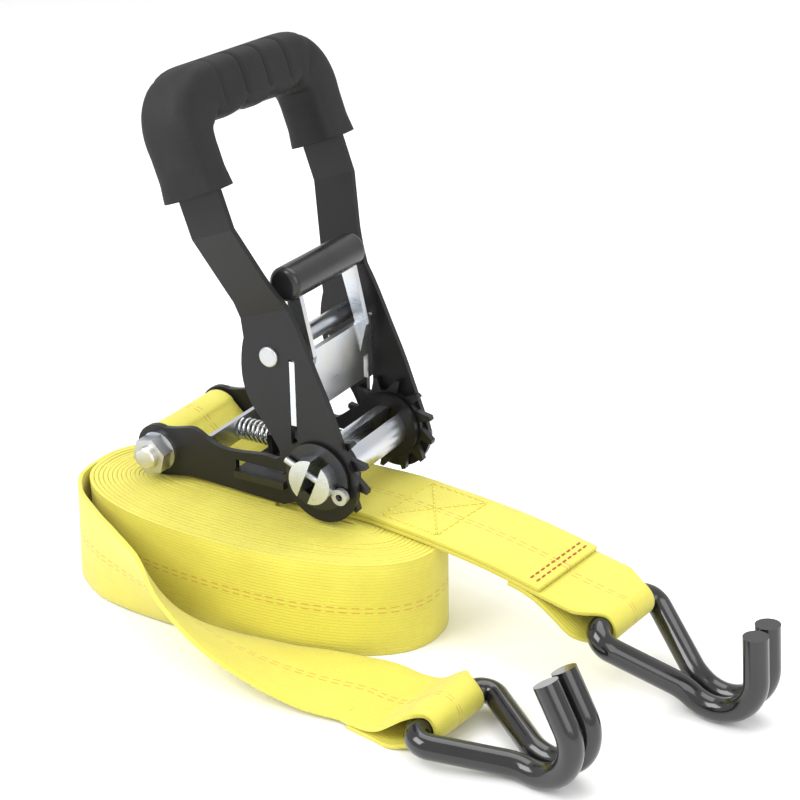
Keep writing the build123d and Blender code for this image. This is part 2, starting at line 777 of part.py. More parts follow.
with BuildPart() as short_strap:
    with BuildSketch(side_plane(-strap_half)):
        with BuildLine():
            touch_high = touch(bolt_at, tail_eye_outer, tail_eye_high, -1)
            touch_low = touch(bolt_at, tail_eye_outer, tail_eye_low, 1)
            Line((bend_x + 0.5, run_low), tail_eye_low)
            Line(tail_eye_low, touch_low)
            ThreePointArc(touch_low, (bolt_at[0] - tail_eye_outer, bolt_at[1]), touch_high)
            Line(touch_high, tail_eye_high)
            Line(tail_eye_high, (bend_x + 0.5, run_high))
            Line((bend_x + 0.5, run_high), (bend_x + 0.5, run_low))
        make_face()
        make_face(eye_hole(bolt_at, spacer_radius + soft_gap, tail_eye_apex), mode=Mode.SUBTRACT)
    extrude(amount=webbing_width)
    with BuildSketch(strap_plane(short_start, short_turn)):
        with BuildLine():
            lap_foot = (lap_end + 0.4, lap_high - webbing_thick)
            eye_high = touch(short_eye, eye_outer, lap_foot, 1)
            eye_low = touch(short_eye, eye_outer, (split_at, split_low), -1)
            Line((0, short_low), (0, short_high))
            Spline((0, short_high), (38.0, short_high - 0.1), (72.0, short_high - 1.8), (lap_end, lap_high))
            Line((lap_end, lap_high), lap_foot)
            Line(lap_foot, eye_high)
            ThreePointArc(eye_high, (short_eye[0] + eye_outer, short_eye[1]), eye_low)
            Line(eye_low, (split_at, split_low))
            Spline((split_at, split_low), (64.0, short_low - 1.0), (44.0, short_low - 0.1), (0, short_low))
        make_face()
        apex = (split_at + 6.0, split_low + 0.2)
        make_face(eye_hole(short_eye, eye_inner, apex), mode=Mode.SUBTRACT)
    extrude(amount=strap_half, both=True)
    add(hook_room(short_hook_at, short_turn), mode=Mode.SUBTRACT)
finish(short_strap, "short_strap")

# The long strap's free end comes off the roll on its edge, turns flat and ends in an eye.
tail_stations = (
    ((-102.0, -18.5, 26.2), (0.0, 0.0, 1.0)),
    ((-88.0, -37.0, 26.2), (0.10, -0.02, 0.99)),
    ((-68.0, -49.5, 26.2), (0.17, -0.06, 0.98)),
    ((-46.0, -57.5, 26.0), (0.25, -0.22, 0.94)),
    ((-24.0, -63.5, 24.8), (0.30, -0.42, 0.85)),
    ((0.0, -70.0, 20.5), (0.27, -0.72, 0.60)),
    ((26.0, -72.5, 14.0), (0.18, -0.88, 0.40)),
    ((52.0, -70.0, 8.0), (0.08, -0.96, 0.22)),
    ((76.0, -65.5, 4.4), (0.0, -1.0, 0.05)),
    ((98.9, -61.9, 3.4), (-0.15, -0.99, 0.0)),
)
front_eye_turn = front_hook_turn
front_eye_run = 46.0
front_eye = (front_eye_run, front_hook_at[2])
front_heading = Vector(cos(radians(front_eye_turn)), sin(radians(front_eye_turn)), 0)
front_start = Vector(front_hook_at[0], front_hook_at[1], 0) - front_heading * front_eye_run


def webbing_section(index):
    """The webbing's rectangle across the tail at one station, square to the way it runs."""
    centre = Vector(*tail_stations[index][0])
    before = Vector(*tail_stations[max(index - 1, 0)][0])
    after = Vector(*tail_stations[min(index + 1, len(tail_stations) - 1)][0])
    way = (after - before).normalized()
    across = Vector(*tail_stations[index][1])
    across = (across - way * across.dot(way)).normalized()
    return Plane(origin=centre, x_dir=across, z_dir=way)


with BuildPart() as long_strap_tail:
    for index in range(len(tail_stations)):
        with BuildSketch(webbing_section(index)):
            Rectangle(webbing_width, webbing_thick)
    loft(ruled=True)
    with BuildSketch(strap_plane(front_start, front_eye_turn)):
        with BuildLine():
            lap_top = (10.0, double_thick + 0.2)
            lap_under = (12.0, 0.0)
            eye_high = touch(front_eye, eye_outer, lap_top, 1)
            eye_low = touch(front_eye, eye_outer, lap_under, -1)
            Line((0, 0), (0, double_thick))
            Line((0, double_thick), lap_top)
            Line(lap_top, eye_high)
            ThreePointArc(eye_high, (front_eye[0] + eye_outer, front_eye[1]), eye_low)
            Line(eye_low, lap_under)
            Line(lap_under, (0, 0))
        make_face()
        apex = (14.0, webbing_thick + 0.5)
        make_face(eye_hole(front_eye, eye_inner, apex), mode=Mode.SUBTRACT)
    extrude(amount=strap_half, both=True)
    add(hook_room(front_hook_at, front_eye_turn), mode=Mode.SUBTRACT)
finish(long_strap_tail, "long_strap_tail")
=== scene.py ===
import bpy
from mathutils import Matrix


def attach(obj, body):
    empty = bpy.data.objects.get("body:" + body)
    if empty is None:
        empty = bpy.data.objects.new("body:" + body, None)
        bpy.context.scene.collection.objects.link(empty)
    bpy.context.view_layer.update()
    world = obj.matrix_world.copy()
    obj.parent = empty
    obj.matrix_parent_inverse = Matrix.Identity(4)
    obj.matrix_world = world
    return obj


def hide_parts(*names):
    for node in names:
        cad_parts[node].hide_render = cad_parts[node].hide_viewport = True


bl_info = {
    "name": "Ratchet Tie Down",
    "version": (1, 0, 0),
    "blender": (4, 5, 0),
    "location": "View3D > Sidebar > Tie Down",
    "description": "Finishes, webbing, grip and stitching of a two-inch ratchet tie down",
    "category": "Object",
}

import random
from math import atan2, cos, exp, pi, radians, sin

import bmesh
import bpy
from mathutils import Matrix, Vector

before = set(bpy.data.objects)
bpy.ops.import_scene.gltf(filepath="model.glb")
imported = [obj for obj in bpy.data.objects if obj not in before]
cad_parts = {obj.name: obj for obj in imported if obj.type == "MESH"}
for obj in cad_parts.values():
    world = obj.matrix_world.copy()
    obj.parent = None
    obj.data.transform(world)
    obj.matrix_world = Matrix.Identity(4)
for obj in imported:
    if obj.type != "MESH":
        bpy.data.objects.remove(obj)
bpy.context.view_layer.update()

MM = 0.001

# ---- webbing, in millimetres ----
WIDTH = 50.0
THICK = 2.1
LAID_HALF = 24.8
EYE_RADIUS = 7.5
NARROW_FROM = -12.0
NARROW_RUN = 17.0
NARROW_BY = 7.9
SPLINE_STEPS = 8

# ---- sewing ----
STITCH = 3.1
STITCH_GAP = 1.1
STITCH_SPAN = (0.12, 0.88)
STITCH_LIFT = 0.15
THREAD_WIDTH = 0.95

# ---- places shared with the CAD, in millimetres ----
PIVOT = Vector((41.5, 28.3, 77.0))
HANDLE_ANGLE = radians(109.0)
ALONG = Vector((cos(HANDLE_ANGLE), 0.0, sin(HANDLE_ANGLE)))
FRONT = Vector((sin(HANDLE_ANGLE), 0.0, -cos(HANDLE_ANGLE)))
NEAR = Vector((0.0, -1.0, 0.0))
SPACER = Vector((-61.9, 64.2))
SHORT_HOOK = Vector((192.5, 9.0, 35.0))
FRONT_HOOK = Vector((144.0, -69.0, 12.0))


# ================= settings =================


class WebbingSettings(bpy.types.PropertyGroup):
    colour: bpy.props.FloatVectorProperty(
        name="Webbing", description="Colour of the webbing yarn", subtype="COLOR", size=4,
        default=(0.70, 0.625, 0.078, 1.0),
    )
    thread: bpy.props.FloatVectorProperty(
        name="Thread", description="Colour of the sewing thread", subtype="COLOR", size=4,
        default=(0.42, 0.075, 0.012, 1.0),
    )
    rib: bpy.props.FloatProperty(
        name="Rib", description="Width of one woven rib", subtype="DISTANCE", default=0.0017,
    )


class MetalSettings(bpy.types.PropertyGroup):
    zinc: bpy.props.FloatVectorProperty(
        name="Zinc", description="Colour of the zinc plating", subtype="COLOR", size=4,
        default=(0.66, 0.67, 0.69, 1.0),
    )
    paint: bpy.props.FloatVectorProperty(
        name="Paint", description="Colour of the painted plates", subtype="COLOR", size=4,
        default=(0.0095, 0.0095, 0.0105, 1.0),
    )


class GripSettings(bpy.types.PropertyGroup):
    rubber: bpy.props.FloatVectorProperty(
        name="Rubber", description="Colour of the grip", subtype="COLOR", size=4,
        default=(0.012, 0.012, 0.0125, 1.0),
    )
    groove_depth: bpy.props.FloatProperty(
        name="Groove depth", description="Depth of the grooves over the grip", subtype="DISTANCE",
        default=0.0026,
    )


# ================= shader helpers =================


class Nodes:
    """Short calls for building one node tree."""

    def __init__(self, tree):
        self.tree = tree

    def add(self, kind, **values):
        node = self.tree.nodes.new(kind)
        for key, value in values.items():
            setattr(node, key, value)
        return node

    def link(self, a, b):
        self.tree.links.new(a, b)

    def feed(self, socket, value):
        if isinstance(value, bpy.types.NodeSocket):
            self.link(value, socket)
        else:
            socket.default_value = value

    def math(self, operation, a, b=0.0, c=0.0):
        node = self.add("ShaderNodeMath", operation=operation)
        for socket, value in zip(node.inputs, (a, b, c)):
            self.feed(socket, value)
        return node.outputs[0]

    def ramp(self, value, low, high, to_low=0.0, to_high=1.0):
        node = self.add("ShaderNodeMapRange")
        node.clamp = True
        for socket, v in zip(node.inputs, (value, low, high, to_low, to_high)):
            self.feed(socket, v)
        return node.outputs[0]

    def mix(self, share, a, b):
        node = self.add("ShaderNodeMix", data_type="RGBA")
        self.feed(node.inputs[0], share)
        self.feed(node.inputs[6], a)
        self.feed(node.inputs[7], b)
        return node.outputs[2]

    def noise(self, vector, scale, detail=3.0, roughness=0.5):
        node = self.add("ShaderNodeTexNoise")
        self.link(vector, node.inputs["Vector"])
        node.inputs["Scale"].default_value = scale
        node.inputs["Detail"].default_value = detail
        node.inputs["Roughness"].default_value = roughness
        return node.outputs[0]


def new_group(name, inputs, outputs):
    """A shader node group with named sockets, ready to be filled."""
    tree = bpy.data.node_groups.new(name, "ShaderNodeTree")
    for label, kind, value in inputs:
        socket = tree.interface.new_socket(label, in_out="INPUT", socket_type=kind)
        if value is not None:
            socket.default_value = value
    for label, kind in outputs:
        tree.interface.new_socket(label, in_out="OUTPUT", socket_type=kind)
    kit = Nodes(tree)
    return kit, kit.add("NodeGroupInput"), kit.add("NodeGroupOutput")


def weave_group():
    """Chevron ribs of heavy webbing from a UV in metres: height, a painted shade mask that darkens the
    grooves between ribs, and edge masks.
    """
    kit, enter, leave = new_group(
        "webbing_weave",
        [("UV", "NodeSocketVector", None), ("Rib", "NodeSocketFloat", 0.0017)],
        [("Height", "NodeSocketFloat"), ("Painted groove shade", "NodeSocketFloat"), ("Selvedge", "NodeSocketFloat")],
    )
    split = kit.add("ShaderNodeSeparateXYZ")
    kit.link(enter.outputs["UV"], split.inputs[0])
    run, across = split.outputs[0], split.outputs[1]
    rib = enter.outputs["Rib"]
    ribs = kit.math("DIVIDE", across, rib)
    ridge = kit.math("ABSOLUTE", kit.math("SINE", kit.math("MULTIPLY", ribs, pi)))
    zigzag = kit.math("PINGPONG", ribs, 1.0)
    pick = kit.math("ADD", kit.math("DIVIDE", run, kit.math("MULTIPLY", rib, 0.62)), zigzag)
    twill = kit.math("ABSOLUTE", kit.math("SINE", kit.math("MULTIPLY", pick, pi)))
    rounded = kit.math("POWER", ridge, 0.6)
    height = kit.math("MULTIPLY", rounded, kit.math("MULTIPLY_ADD", twill, 0.55, 0.45))
    edge = kit.math("ABSOLUTE", kit.math("SUBTRACT", across, WIDTH * MM / 2))
    selvedge = kit.ramp(edge, (WIDTH / 2 - 2.2) * MM, (WIDTH / 2 - 1.2) * MM)
    kit.link(height, leave.inputs["Height"])
    # Painted shade: a colour mask that is darker where the weave is low, in the grooves between the
    # ribs.
    kit.link(kit.math("MULTIPLY_ADD", height, 0.42, 0.58), leave.inputs["Painted groove shade"])
    kit.link(selvedge, leave.inputs["Selvedge"])
    return kit.tree


def scuff_group():
    """Faint handling marks: a broad mask and a fine grain from Object coordinates."""
    kit, enter, leave = new_group(
        "handling_marks",
        [("Vector", "NodeSocketVector", None), ("Grain scale", "NodeSocketFloat", 900.0)],
        [("Patches", "NodeSocketFloat"), ("Grain", "NodeSocketFloat")],
    )
    broad = kit.noise(enter.outputs["Vector"], 38.0, 4.0, 0.6)
    fine = kit.add("ShaderNodeTexNoise")
    kit.link(enter.outputs["Vector"], fine.inputs["Vector"])
    kit.link(enter.outputs["Grain scale"], fine.inputs["Scale"])
    fine.inputs["Detail"].default_value = 4.0
    kit.link(kit.ramp(broad, 0.35, 0.7), leave.inputs["Patches"])
    kit.link(fine.outputs[0], leave.inputs["Grain"])
    return kit.tree


GROUPS = {}


def shared(name, maker):
    """A node group, built the first time it is asked for."""
    if name not in GROUPS:
        GROUPS[name] = maker()
    return GROUPS[name]


def material(name, roughness=0.5, metallic=0.0):
    """An empty principled material with its tree's helper and Object coordinates."""
    made = bpy.data.materials.new(name)
    made.use_nodes = True
    kit = Nodes(made.node_tree)
    shader = made.node_tree.nodes["Principled BSDF"]
    shader.inputs["Roughness"].default_value = roughness
    shader.inputs["Metallic"].default_value = metallic
    coords = kit.add("ShaderNodeTexCoord")
    return made, kit, shader, coords


def bump(kit, shader, height, strength, distance):
    """Raise the surface by a height value, with the depth in metres."""
    node = kit.add("ShaderNodeBump")
    kit.link(height, node.inputs["Height"])
    node.inputs["Strength"].default_value = strength
    node.inputs["Distance"].default_value = distance
    kit.link(node.outputs[0], shader.inputs["Normal"])


def marks(kit, vector, grain_scale):
    """The shared handling marks in one material: patches and grain."""
    node = kit.add("ShaderNodeGroup")
    node.node_tree = shared("handling_marks", scuff_group)
    kit.link(vector, node.inputs["Vector"])
    node.inputs["Grain scale"].default_value = grain_scale
    return node.outputs["Patches"], node.outputs["Grain"]


def tinted(colour, factor):
    """A colour made darker or lighter, opaque."""
    return (colour[0] * factor, colour[1] * factor, colour[2] * factor, 1.0)


def webbing_material(settings):
    """Yellow polyester webbing with ribs, a firm selvedge and a tracer thread along the middle."""
    made, kit, shader, coords = material("webbing_yellow", 0.62)
    weave = kit.add("ShaderNodeGroup")
    weave.node_tree = shared("webbing_weave", weave_group)
    kit.link(coords.outputs["UV"], weave.inputs["UV"])
    weave.inputs["Rib"].default_value = settings.rib
    split = kit.add("ShaderNodeSeparateXYZ")
    kit.link(coords.outputs["UV"], split.inputs[0])
    run, across = split.outputs[0], split.outputs[1]
    off_middle = kit.math("ABSOLUTE", kit.math("SUBTRACT", across, WIDTH * MM / 2))
    lane = kit.math("ABSOLUTE", kit.math("SUBTRACT", off_middle, 0.0013))
    lane_mask = kit.ramp(lane, 0.0002, 0.0004, 0.55, 0.0)
    dash = kit.math("FRACT", kit.math("DIVIDE", run, 0.0062))
    dash_mask = kit.math("LESS_THAN", dash, 0.62)
    tracer = kit.math("MULTIPLY", lane_mask, dash_mask)
    patches, grain = marks(kit, coords.outputs["Object"], 1600.0)
    base = settings.colour[:]
    lit = kit.mix(patches, tinted(base, 0.95), (base[0] * 1.04, base[1] * 1.07, base[2] * 1.15, 1.0))
    # Painted shade: the grooves between the ribs get a darker copy of the webbing colour, and the rib
    # tops the lighter one.
    woven = kit.mix(weave.outputs["Painted groove shade"], tinted(base, 0.62), lit)
    woven = kit.mix(kit.math("MULTIPLY", grain, 0.16), woven, tinted(base, 0.7))
    woven = kit.mix(kit.math("MULTIPLY", weave.outputs["Selvedge"], 0.22), woven, tinted(base, 0.75))
    sewn = kit.mix(tracer, woven, settings.thread[:])
    kit.link(sewn, shader.inputs["Base Color"])
    shader.inputs["Sheen Weight"].default_value = 0.22
    shader.inputs["Sheen Roughness"].default_value = 0.45
    height = kit.math("ADD", weave.outputs["Height"], kit.math("MULTIPLY", tracer, 0.6))
    height = kit.math("MULTIPLY_ADD", grain, 0.12, height)
    bump(kit, shader, height, 0.55, 0.0003)
    return made


def thread_material(name, base):
    """Twisted sewing thread in one colour."""
    made, kit, shader, coords = material(name, 0.55)
    grain = marks(kit, coords.outputs["Object"], 2600.0)[1]
    colour = kit.mix(grain, tinted(base, 0.6), tinted(base, 1.3))
    kit.link(colour, shader.inputs["Base Color"])
    shader.inputs["Sheen Weight"].default_value = 0.2
    bump(kit, shader, grain, 0.4, 0.0001)
    return made


def zinc_material(settings, name="bright_zinc", tone=1.0, roughness=0.27, streak=(1.0, 0.08, 1.0)):
    """Bright zinc plating: soft cloudiness, fine drawn lines and a faint blue-yellow cast."""
    made, kit, shader, coords = material(name, roughness, 1.0)
    patches, grain = marks(kit, coords.outputs["Object"], 1400.0)
    stretch = kit.add("ShaderNodeMapping")
    kit.link(coords.outputs["Object"], stretch.inputs["Vector"])
    stretch.inputs["Scale"].default_value = streak
    lines = kit.noise(stretch.outputs[0], 1500.0, 2.0)
    base = tinted(settings.zinc, tone)
    warm = (base[0] * 1.05, base[1] * 1.0, base[2] * 0.9, 1.0)
    cool = (base[0] * 0.88, base[1] * 0.93, base[2] * 1.0, 1.0)
    kit.link(kit.mix(patches, cool, warm), shader.inputs["Base Color"])
    rough = kit.math("MULTIPLY_ADD", lines, 0.16, roughness - 0.07)
    rough = kit.math("MULTIPLY_ADD", patches, 0.08, rough)
    kit.link(rough, shader.inputs["Roughness"])
    bump(kit, shader, kit.math("MULTIPLY_ADD", grain, 0.5, lines), 0.16, 0.00012)
    return made


def paint_material(settings):
    """Semi-gloss black powder coat with a fine orange peel."""
    made, kit, shader, coords = material("black_powder_coat", 0.36)
    shader.inputs["Specular IOR Level"].default_value = 0.3
    patches, grain = marks(kit, coords.outputs["Object"], 1100.0)
    peel = kit.noise(coords.outputs["Object"], 420.0, 2.0)
    dark = kit.mix(patches, tinted(settings.paint, 0.92), tinted(settings.paint, 1.1))
    kit.link(dark, shader.inputs["Base Color"])
    kit.link(kit.math("MULTIPLY_ADD", patches, 0.05, 0.34), shader.inputs["Roughness"])
    bump(kit, shader, kit.math("MULTIPLY_ADD", grain, 0.3, peel), 0.1, 0.0002)
    return made


def rubber_material(settings):
    """Matt charcoal rubber with a fine moulded grain."""
    made, kit, shader, coords = material("grip_rubber", 0.68)
    shader.inputs["Specular IOR Level"].default_value = 0.3
    patches, grain = marks(kit, coords.outputs["Object"], 1500.0)
    base = settings.rubber[:]
    kit.link(kit.mix(patches, tinted(base, 0.82), tinted(base, 1.25)), shader.inputs["Base Color"])
    kit.link(kit.math("MULTIPLY_ADD", grain, 0.2, 0.55), shader.inputs["Roughness"])
    cells = kit.add("ShaderNodeTexVoronoi")
    kit.link(coords.outputs["Object"], cells.inputs["Vector"])
    cells.inputs["Scale"].default_value = 900.0
    bump(kit, shader, kit.math("ADD", cells.outputs["Distance"], grain), 0.22, 0.0002)
    return made


def plastic_material():
    """Smooth black sleeve plastic with a faint flow pattern."""
    made, kit, shader, coords = material("sleeve_plastic", 0.3)
    patches, grain = marks(kit, coords.outputs["Object"], 700.0)
    dark = kit.mix(patches, (0.010, 0.010, 0.011, 1), (0.018, 0.018, 0.019, 1))
    kit.link(dark, shader.inputs["Base Color"])
    kit.link(kit.math("MULTIPLY_ADD", patches, 0.12, 0.24), shader.inputs["Roughness"])
    bump(kit, shader, grain, 0.08, 0.0002)
    return made


def vinyl_material():
    """Thick dipped vinyl: glossy, slightly uneven, near black."""
    made, kit, shader, coords = material("hook_vinyl", 0.14)
    patches, grain = marks(kit, coords.outputs["Object"], 500.0)
    dark = kit.mix(patches, (0.006, 0.006, 0.007, 1), (0.013, 0.013, 0.014, 1))
    kit.link(dark, shader.inputs["Base Color"])
    kit.link(kit.math("MULTIPLY_ADD", patches, 0.1, 0.1), shader.inputs["Roughness"])
    shader.inputs["Coat Weight"].default_value = 0.35
    shader.inputs["Coat Roughness"].default_value = 0.06
    wave = kit.noise(coords.outputs["Object"], 90.0, 2.0)
    bump(kit, shader, kit.math("MULTIPLY_ADD", grain, 0.15, wave), 0.12, 0.0005)
    return made


# ================= mesh helpers =================


def finish_object(name, bm, made_of, body):
    """Turn a bmesh in millimetres into a finished, riding object in metres."""
    bmesh.ops.scale(bm, vec=(MM, MM, MM), verts=bm.verts)
    mesh = bpy.data.meshes.new(name)
    bm.to_mesh(mesh)
    bm.free()
    mesh.materials.append(made_of)
    mesh.shade_smooth()
    obj = bpy.data.objects.new(name, mesh)
    bpy.context.scene.collection.objects.link(obj)
    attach(obj, body)
    return obj


def spline_points(points, per_span):
    """Points on a smooth curve through the given ones."""
    last = len(points) - 1
    curve = []
    for i in range(last):
        p0, p1 = points[max(i - 1, 0)], points[i]
        p2, p3 = points[i + 1], points[min(i + 2, last)]
        for step in range(per_span):
            t = step / per_span
            curve.append(
                0.5 * (2 * p1 + (p2 - p0) * t + (2 * p0 - 5 * p1 + 4 * p2 - p3) * t**2
                       + (3 * p1 - p0 - 3 * p2 + p3) * t**3)
            )
    curve.append(points[-1].copy())
    return curve


def smooth_numbers(numbers, per_span):
    """The same curve through plain numbers."""
    return [v.x for v in spline_points([Vector((n, 0, 0)) for n in numbers], per_span)]


def grown_edge(bm, edges):
    """Extrude edges once and return the new points and the new edges along them."""
    grown = bmesh.ops.extrude_edge_only(bm, edges=edges)["geom"]
    row = [g for g in grown if isinstance(g, bmesh.types.BMVert)]
    fresh = set(row)
    edges = [g for g in grown if isinstance(g, bmesh.types.BMEdge) and all(v in fresh for v in g.verts)]
    return row, edges


def ribbon(stations, cells):
    """A strip of webbing: one cross row of points, extruded along its stations.

    Each station is a centre, the unit way across and half the width.
    Returns the bmesh and the length run.
    """
    bm = bmesh.new()
    run_layer = bm.verts.layers.float.new("run")
    cross_layer = bm.verts.layers.float.new("cross")
    row, run, before = [], 0.0, None
    for j in range(cells + 1):
        vert = bm.verts.new((0.0, 0.0, 0.0))
        vert[cross_layer] = j / cells
        row.append(vert)
    edges = [bm.edges.new((row[j], row[j + 1])) for j in range(cells)]
    for number, (centre, across, half) in enumerate(stations):
        if number:
            row, edges = grown_edge(bm, edges)
            run += (centre - before).length
        for vert in row:
            share = 2.0 * vert[cross_layer] - 1.0
            vert.co = centre + across * (share * half)
            vert[run_layer] = run
        before = centre
    uv = bm.loops.layers.uv.new("strap")
    for face in bm.faces:
        for loop in face.loops:
            vert = loop.vert
            loop[uv].uv = (vert[run_layer] * MM, vert[cross_layer] * WIDTH * MM)
    return bm, run


def webbing_piece(name, bm, made_of):
    """Finish a strip and give it the webbing's thickness."""
    bmesh.ops.recalc_face_normals(bm, faces=bm.faces)
    obj = finish_object(name, bm, made_of, "base")
    wall = obj.modifiers.new("webbing_thickness", "SOLIDIFY")
    wall.thickness = THICK * MM
    wall.offset = 0.0
    wall.use_even_offset = True
    soften = obj.modifiers.new("selvedge", "BEVEL")
    soften.width = 0.45 * MM
    soften.segments = 2
    soften.limit_method = "ANGLE"
    soften.angle_limit = radians(50)
    return obj


def oval_point(share, half_length, half_width, roundness):
    """A point on the rolled strap's oval, share of a full turn from +X."""
    c, s = cos(2 * pi * share), sin(2 * pi * share)
    x = half_length * (1 if c > 0 else -1) * abs(c) ** (2 / roundness)
    y = half_width * (1 if s > 0 else -1) * abs(s) ** (2 / roundness)
    return Vector((x, y, 0.0))


def threads(name, stitches, made_of):
    """Sewing thread: one small rounded rod for each stitch."""
    bm = bmesh.new()
    for start, end, up in stitches:
        way = end - start
        turn = way.to_track_quat("Z", "Y").to_matrix().to_4x4()
        place = Matrix.Translation((start + end) / 2 + up * 0.12) @ turn
        made = bmesh.ops.create_uvsphere(bm, u_segments=6, v_segments=5, radius=0.5)
        bmesh.ops.scale(bm, vec=(THREAD_WIDTH, THREAD_WIDTH, way.length), verts=made["verts"])
        bmesh.ops.transform(bm, matrix=place, verts=made["verts"])
    return finish_object(name, bm, made_of, "base")


def along_strap(stations, runs):
    """(centre, across, way) of a strip at each length run from its start."""
    found, walked = [], 0.0
    spans = iter(zip(stations, stations[1:]))
    here, there = next(spans)
    for run in runs:
        while walked + (there[0] - here[0]).length < run:
            walked += (there[0] - here[0]).length
            here, there = next(spans)
        share = (run - walked) / (there[0] - here[0]).length
        centre = here[0].lerp(there[0], share)
        found.append((centre, here[1].lerp(there[1], share).normalized(), there[0] - here[0]))
    return found


def stitch_lines(stations, first, lines, side=1.0):
    """Short stitches along straight lines on one face of the strip, given as (run, cross) ends."""
    made = []
    for start, end in lines:
        start, end = Vector(start), Vector(end)
        count = int((end - start).length / (STITCH + STITCH_GAP))
        for number in range(count):
            places = []
            for share in STITCH_SPAN:
                run, cross = start.lerp(end, (number + share) / count)
                centre, across, way = along_strap(stations, [first + run])[0]
                up = across.cross(way).normalized() * side
                places.append(centre + across * cross + up * (THICK / 2 + STITCH_LIFT))
            made.append((places[0], places[1], up))
    return made


def crossed_box(length, half):
    """The lines of a sewn box with a cross inside."""
    low, high = ((0, -half), (0, half)), ((length, -half), (length, half))
    sides = ((0, -half), (length, -half)), ((0, half), (length, half))
    cross = ((0, -half), (length, half)), ((0, half), (length, -half))
    return (low, high) + sides + cross


def cross_rows(half, *runs):
    """The lines of stitch rows straight across the strap."""
    return [((run, -half), (run, half)) for run in runs]


# ================= long strap =================

ROLL_TURNS = 19.3
ROLL_STEPS = 64
ROLL_END_SHARE = 0.53
ROLL_HALF_LENGTH = 102.7
ROLL_HALF_WIDTH = 48.0
ROLL_ROUNDNESS = 2.3
ROLL_PITCH = 2.4
ROLL_MIDDLE = 25.05
ROLL_HALF = 24.75
ROLL_SHIFT = 0.16
ROLL_RIPPLE = 0.08

TAIL_LINE = (
    ((-98.3, -23.5, 25.6), (0.03, 0.0, 1.0)),
    ((-88.0, -37.0, 26.0), (0.10, -0.02, 0.99)),
    ((-68.0, -49.5, 26.1), (0.17, -0.06, 0.98)),
    ((-46.0, -57.5, 26.0), (0.25, -0.22, 0.94)),
    ((-24.0, -63.5, 24.6), (0.30, -0.42, 0.85)),
    ((0.0, -70.0, 20.5), (0.27, -0.72, 0.60)),
    ((26.0, -72.5, 14.0), (0.18, -0.88, 0.40)),
    ((52.0, -70.0, 8.0), (0.08, -0.96, 0.22)),
    ((76.0, -65.5, 4.4), (0.0, -1.0, 0.05)),
)
FRONT_TURN = radians(-9.0)
FRONT_EYE_REACH = 46.0
FRONT_EYE_TOP = 3.9
FRONT_EYE_LOW = 1.3
FRONT_EYE_BACK = 9.0
FLOOR_GAP = 1.15
# The station where the front eye's lap begins.
FRONT_LAP_STATION = 74


def rolled_part():
    """The strap's turns on their edges, from the innermost to the outermost."""
    rng = random.Random(7)
    count = int(ROLL_TURNS) + 2
    waves = [(rng.uniform(-ROLL_SHIFT, ROLL_SHIFT), rng.uniform(0, 2 * pi)) for _ in range(count)]
    stations = []
    for step in range(int(ROLL_TURNS * ROLL_STEPS) + 1):
        turns = step / ROLL_STEPS
        inset = ROLL_PITCH * turns
        centre = oval_point(
            ROLL_END_SHARE - turns, ROLL_HALF_LENGTH - inset, ROLL_HALF_WIDTH - inset, ROLL_ROUNDNESS
        )
        shift, phase = waves[int(turns)]
        after = waves[int(turns) + 1][0]
        blend = turns - int(turns)
        ripple = ROLL_RIPPLE * sin(2 * pi * turns * 3 + phase)
        centre.z = ROLL_MIDDLE + shift * (1 - blend) + after * blend + ripple
        stations.append((centre, Vector((0, 0, 1)), ROLL_HALF))
    stations.reverse()
    return stations


def eye_line(reach, height, bar, radius, low, run):
    """Side view of a webbing eye: up over the hook's bar, round it and back underneath."""
    rise = height + 0.36 * (bar - height)
    over = [(0.26 * reach, height), (0.55 * reach, rise), (0.86 * reach, bar + 5.6)]
    angles = [radians(d) for d in range(0, 181, 30)]
    nose = [(reach + radius * sin(a), bar + radius * cos(a)) for a in angles]
    back = [(0.74 * reach, low + 0.5), (0.5 * reach, low), (run, low)]
    return over + nose + back


def eye_width(distance_to_bar):
    """Half the webbing's width, drawn in where the hook's shoulders leave the eye."""
    if distance_to_bar < NARROW_FROM:
        return LAID_HALF
    share = min(1.0, (distance_to_bar - NARROW_FROM) / NARROW_RUN)
    return LAID_HALF - NARROW_BY * share * share * (3 - 2 * share)


def long_strap_stations():
    """Every station of the long strap from its inner end to its hook, and the free run's alone."""
    rolled = rolled_part()
    end = rolled[-1]
    centres = [end[0]] + [Vector(c) for c, _ in TAIL_LINE]
    acrosses = [end[1]] + [Vector(a) for _, a in TAIL_LINE]
    heading = Vector((cos(FRONT_TURN), sin(FRONT_TURN), 0.0))
    level = Vector((sin(FRONT_TURN), -cos(FRONT_TURN), 0.0))
    start = Vector((FRONT_HOOK.x, FRONT_HOOK.y, 0.0)) - heading * FRONT_EYE_REACH
    halves = [LAID_HALF] * len(centres)
    centres.append(start + Vector((0, 0, 3.6)))
    acrosses.append(level)
    halves.append(LAID_HALF)
    for along, z in eye_line(
        FRONT_EYE_REACH, FRONT_EYE_TOP, FRONT_HOOK.z, EYE_RADIUS, FRONT_EYE_LOW, FRONT_EYE_BACK
    ):
        centres.append(start + heading * along + Vector((0, 0, z)))
        acrosses.append(level)
        halves.append(eye_width(along - FRONT_EYE_REACH))
    centres = spline_points(centres, SPLINE_STEPS)
    acrosses = [a.normalized() for a in spline_points(acrosses, SPLINE_STEPS)]
    halves = smooth_numbers(halves, SPLINE_STEPS)
    free = []
    for number, (centre, across, half) in enumerate(zip(centres, acrosses, halves)):
        before, after = centres[max(number - 1, 0)], centres[min(number + 1, len(centres) - 1)]
        way = (after - before).normalized()
        across = (across - way * across.dot(way)).normalized()
        centre = centre.copy()
        reach_down = half * abs(across.z) + FLOOR_GAP
        centre.z = max(centre.z, reach_down)
        free.append((centre, across, half))
    return rolled[:-1] + free, free


# ================= short strap =================

